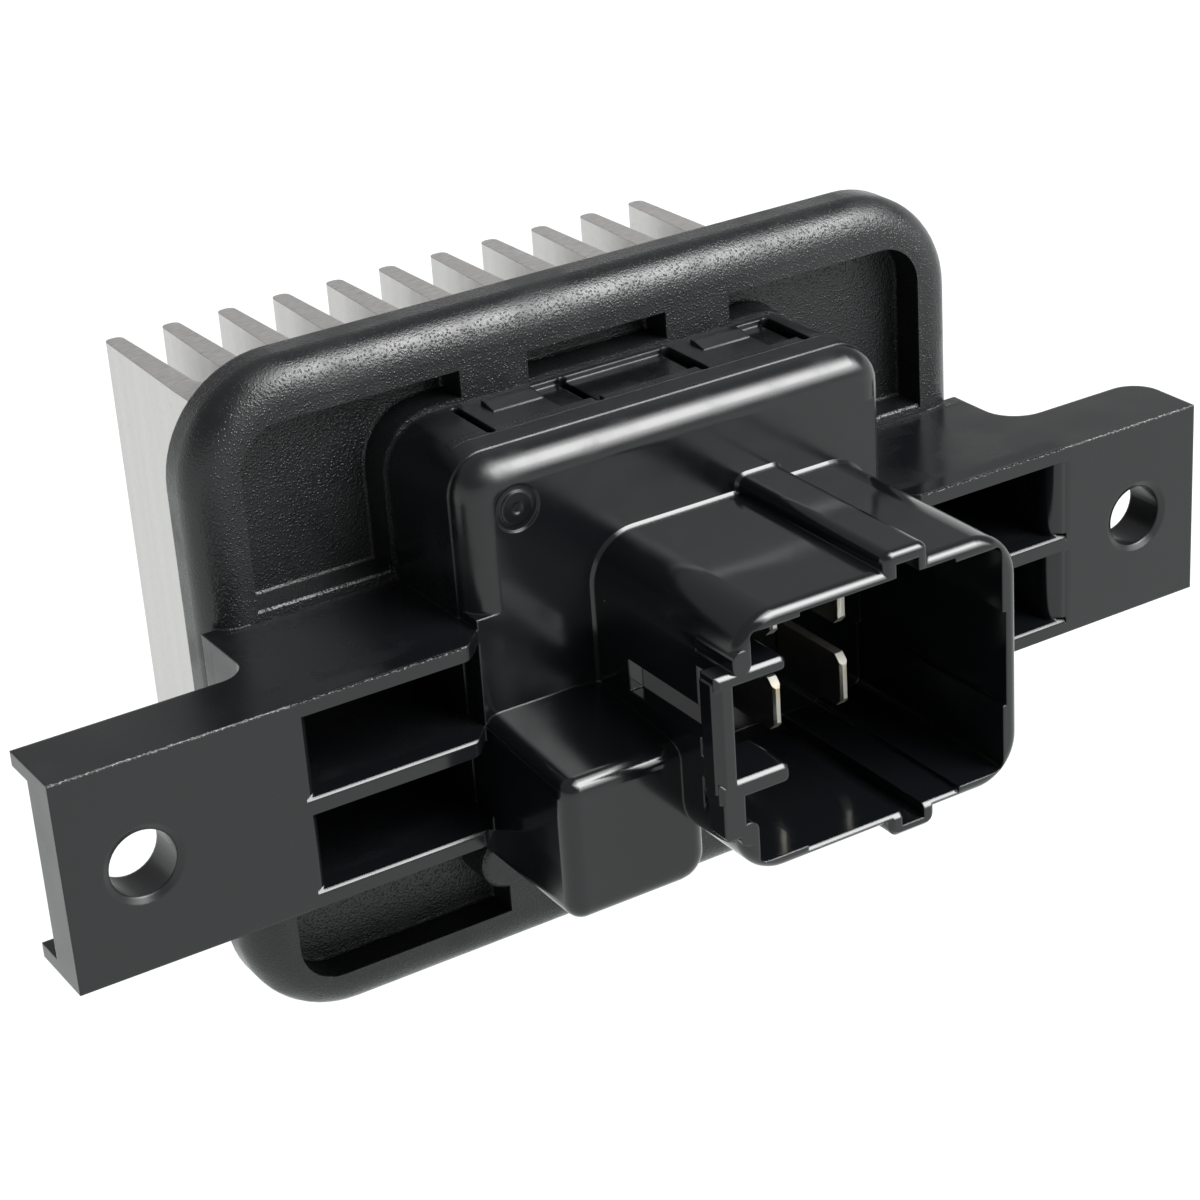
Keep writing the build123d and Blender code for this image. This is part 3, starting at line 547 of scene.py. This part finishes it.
@dataclass(frozen=True)
class PlainFinish:
    """A finish of a small piece inside: two tones, a grain and a gloss."""

    name: str
    light: Colour
    dark: Colour
    rough: float
    metal: float = 0.0
    grain_mm: float = 0.3
    cloud_mm: float = 1.8
    cloud_share: float = 0.7
    grain_rough: float = 0.12
    depth_mm: float = 0.006
    edge_mm: float = 0.06

    def shader(self) -> Shader:
        """Builds the material."""
        s = Shader(self.name)
        grain = s.noise(self.grain_mm, 3.0)
        cloud = s.noise(self.cloud_mm, 2.0)
        tone = cloud * self.cloud_share + grain * (1 - self.cloud_share)
        s.set(
            Base_Color=s.mix(tone, self.light, self.dark),
            Metallic=self.metal,
            Roughness=self.rough + (grain - 0.5) * self.grain_rough,
            Normal=s.relief(grain, self.depth_mm, s.rounded(self.edge_mm)),
        )
        return s


@dataclass
class Housing:
    """The black moulding."""

    finish: MouldedBlack = field(default_factory=MouldedBlack)
    node: str = "housing"

    def build(self) -> None:
        """Dresses the moulding."""
        self.finish.shader().dress(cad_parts[self.node])
        log.info("housing: moulded black")


@dataclass
class HeatSink:
    """The finned extrusion and the film that holds it."""

    finish: ExtrudedAluminium = field(default_factory=ExtrudedAluminium)
    film: PlainFinish = PlainFinish("bond_film", (0.42, 0.42, 0.43), (0.3, 0.3, 0.31), 0.6)

    def build(self) -> None:
        """Dresses the extrusion and its film."""
        self.finish.shader().dress(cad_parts["heat_sink"])
        self.film.shader().dress(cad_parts["bond_film"])
        log.info("heat sink: extruded aluminium and its film")


@dataclass
class Blades:
    """The four blade terminals."""

    finish: TinnedBrass = field(default_factory=TinnedBrass)
    nodes: tuple = ("terminal_battery", "terminal_motor", "terminal_control", "terminal_ground")

    def build(self) -> None:
        """Dresses the blades."""
        self.finish.shader().dress(*(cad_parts[name] for name in self.nodes))
        log.info("blades: tinned brass")


@dataclass
class Electronics:
    """What stands on the board inside the box."""

    board: PlainFinish = PlainFinish("board_green", (0.015, 0.11, 0.045), (0.01, 0.07, 0.03), 0.4)
    epoxy: PlainFinish = PlainFinish("epoxy_black", (0.012, 0.012, 0.013), (0.006, 0.006, 0.006), 0.5)
    solder: PlainFinish = PlainFinish("solder", (0.62, 0.63, 0.64), (0.45, 0.46, 0.47), 0.3, 1.0)
    steel: PlainFinish = PlainFinish("zinc_steel", (0.56, 0.56, 0.54), (0.42, 0.42, 0.4), 0.34, 1.0)
    pad: PlainFinish = PlainFinish("pad_grey", (0.4, 0.42, 0.45), (0.32, 0.34, 0.36), 0.7)
    sleeve: PlainFinish = PlainFinish("can_sleeve", (0.02, 0.03, 0.09), (0.012, 0.02, 0.06), 0.25)
    shunt: PlainFinish = PlainFinish("shunt_alloy", (0.5, 0.44, 0.38), (0.4, 0.35, 0.3), 0.36, 1.0)
    ceramic: PlainFinish = PlainFinish("ceramic", (0.4, 0.3, 0.22), (0.33, 0.24, 0.17), 0.45)

    def wearers(self) -> dict[PlainFinish, tuple[str, ...]]:
        """Each finish with the nodes that take it."""
        return {
            self.board: ("circuit_board",),
            self.epoxy: ("power_transistor", "control_chip", "flyback_diode", "chip_resistors"),
            self.solder: ("transistor_leads", "solder_joints"),
            self.steel: ("transistor_screw", "spring_washer", "thermal_fuse"),
            self.pad: ("insulating_pad",),
            self.sleeve: ("filter_capacitor",),
            self.shunt: ("shunt_resistor",),
            self.ceramic: ("chip_capacitors",),
        }

    def build(self) -> None:
        """Dresses every inner piece."""
        for finish, names in self.wearers().items():
            finish.shader().dress(*(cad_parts[name] for name in names))
            log.info("electronics: %s on %s", finish.name, ", ".join(names))


@dataclass(frozen=True)
class Softbox:
    """A soft rectangular lamp: its distance from the part and its sides in metres, and its power in watts."""

    name: str
    distance: float
    sides: Span
    power: float

    def hang(self, towards: Vector) -> None:
        """Puts the lamp in a direction from the part, facing it."""
        data = bpy.data.lights.new(self.name, "AREA")
        data.shape = "RECTANGLE"
        data.size, data.size_y = self.sides
        data.energy = self.power
        lamp = bpy.data.objects.new(self.name, data)
        lamp.location = towards * self.distance
        lamp.rotation_mode = "QUATERNION"
        lamp.rotation_quaternion = (-towards).to_track_quat("-Z", "Y")
        bpy.context.scene.collection.objects.link(lamp)


@dataclass
class Studio:
    """The floor, the light and the camera."""

    floor_z_mm: float = -29.42
    floor_half: float = 3.0
    floor_shade_mm: float = 60.0
    floor_light: Colour = (0.07, 0.07, 0.07)
    floor_dark: Colour = (0.06, 0.06, 0.06)
    floor_rough: float = 0.9
    floor_glow: tuple = (0.965, 1.0, 0.99, 1.0)
    floor_glow_strength: float = 1.05

    horizon: float = 1.02
    overhead: float = 0.36
    fall: Span = (0.20, 0.36)

    towards: tuple = (0.42, -0.52, 0.74)
    softboxes: tuple = (
        Softbox("softbox_wide", 0.62, (0.56, 0.80), 5.0),
        Softbox("softbox_middle", 0.615, (0.42, 0.56), 4.0),
        Softbox("softbox_heart", 0.61, (0.28, 0.30), 3.0),
    )

    lens: float = 90.455
    sensor: float = 36.0
    clip: Span = (0.01, 20.0)
    place_mm: tuple = (-115.809, -184.363, 111.960)
    right: tuple = (0.844311, -0.531973, -0.064368)
    down: tuple = (-0.280575, -0.336544, -0.898897)
    forward: tuple = (0.456527, 0.777009, -0.433406)

    def floor(self) -> None:
        """A pale floor that glows a little, so that it stays near white under the part."""
        shader = Shader("pale_floor")
        shader.set(
            Base_Color=shader.mix(shader.noise(self.floor_shade_mm, 2.0), self.floor_light, self.floor_dark),
            Roughness=self.floor_rough,
            Specular_IOR_Level=0.0,
            Emission_Color=self.floor_glow,
            Emission_Strength=self.floor_glow_strength,
        )
        mesh = bpy.data.meshes.new("floor")
        h, z = self.floor_half, self.floor_z_mm * MM
        mesh.from_pydata([(-h, -h, z), (h, -h, z), (h, h, z), (-h, h, z)], [], [(0, 1, 2, 3)])
        plane = bpy.data.objects.new("floor", mesh)
        bpy.context.scene.collection.objects.link(plane)
        shader.dress(plane)

    def sky(self) -> None:
        """A surround that is white at the horizon and dims above it, like the sweep behind a small table."""
        world = bpy.data.worlds.new("surround")
        world.use_nodes = True
        tree = world.node_tree
        background = tree.nodes["Background"]
        split = tree.nodes.new("ShaderNodeSeparateXYZ")
        tree.links.new(tree.nodes.new("ShaderNodeTexCoord").outputs["Generated"], split.inputs[0])
        ramp = tree.nodes.new("ShaderNodeMapRange")
        ramp.interpolation_type = "SMOOTHSTEP"
        ramp.inputs["From Min"].default_value, ramp.inputs["From Max"].default_value = self.fall
        ramp.inputs["To Min"].default_value = self.horizon
        ramp.inputs["To Max"].default_value = self.overhead
        tree.links.new(split.outputs[2], ramp.inputs["Value"])
        tree.links.new(ramp.outputs[0], background.inputs["Strength"])
        background.inputs["Color"].default_value = (1, 1, 1, 1)
        bpy.context.scene.world = world

    def camera(self) -> None:
        """The camera at the photograph's place, with its view directions as the matrix's columns."""
        data = bpy.data.cameras.new("camera")
        data.lens = self.lens
        data.sensor_width = self.sensor
        data.sensor_fit = "HORIZONTAL"
        data.clip_start, data.clip_end = self.clip
        camera = bpy.data.objects.new("camera", data)
        columns = [Vector(self.right), -Vector(self.down), -Vector(self.forward), Vector(self.place_mm) * MM]
        rows = [[column[row] for column in columns] for row in range(3)]
        camera.matrix_world = Matrix([*rows, [0, 0, 0, 1]])
        bpy.context.scene.collection.objects.link(camera)
        bpy.context.scene.camera = camera

    def build(self) -> None:
        """Sets up the whole studio."""
        self.camera()
        self.floor()
        self.sky()
        for softbox in self.softboxes:
            softbox.hang(Vector(self.towards).normalized())
        bpy.context.scene.view_settings.view_transform = "Standard"
        log.info("studio: floor, surround, %d softboxes and camera", len(self.softboxes))


def main() -> None:
    """Builds everything in order."""
    Studio().build()
    Housing().build()
    HeatSink().build()
    Blades().build()
    Electronics().build()


if __name__ == "__main__":
    main()
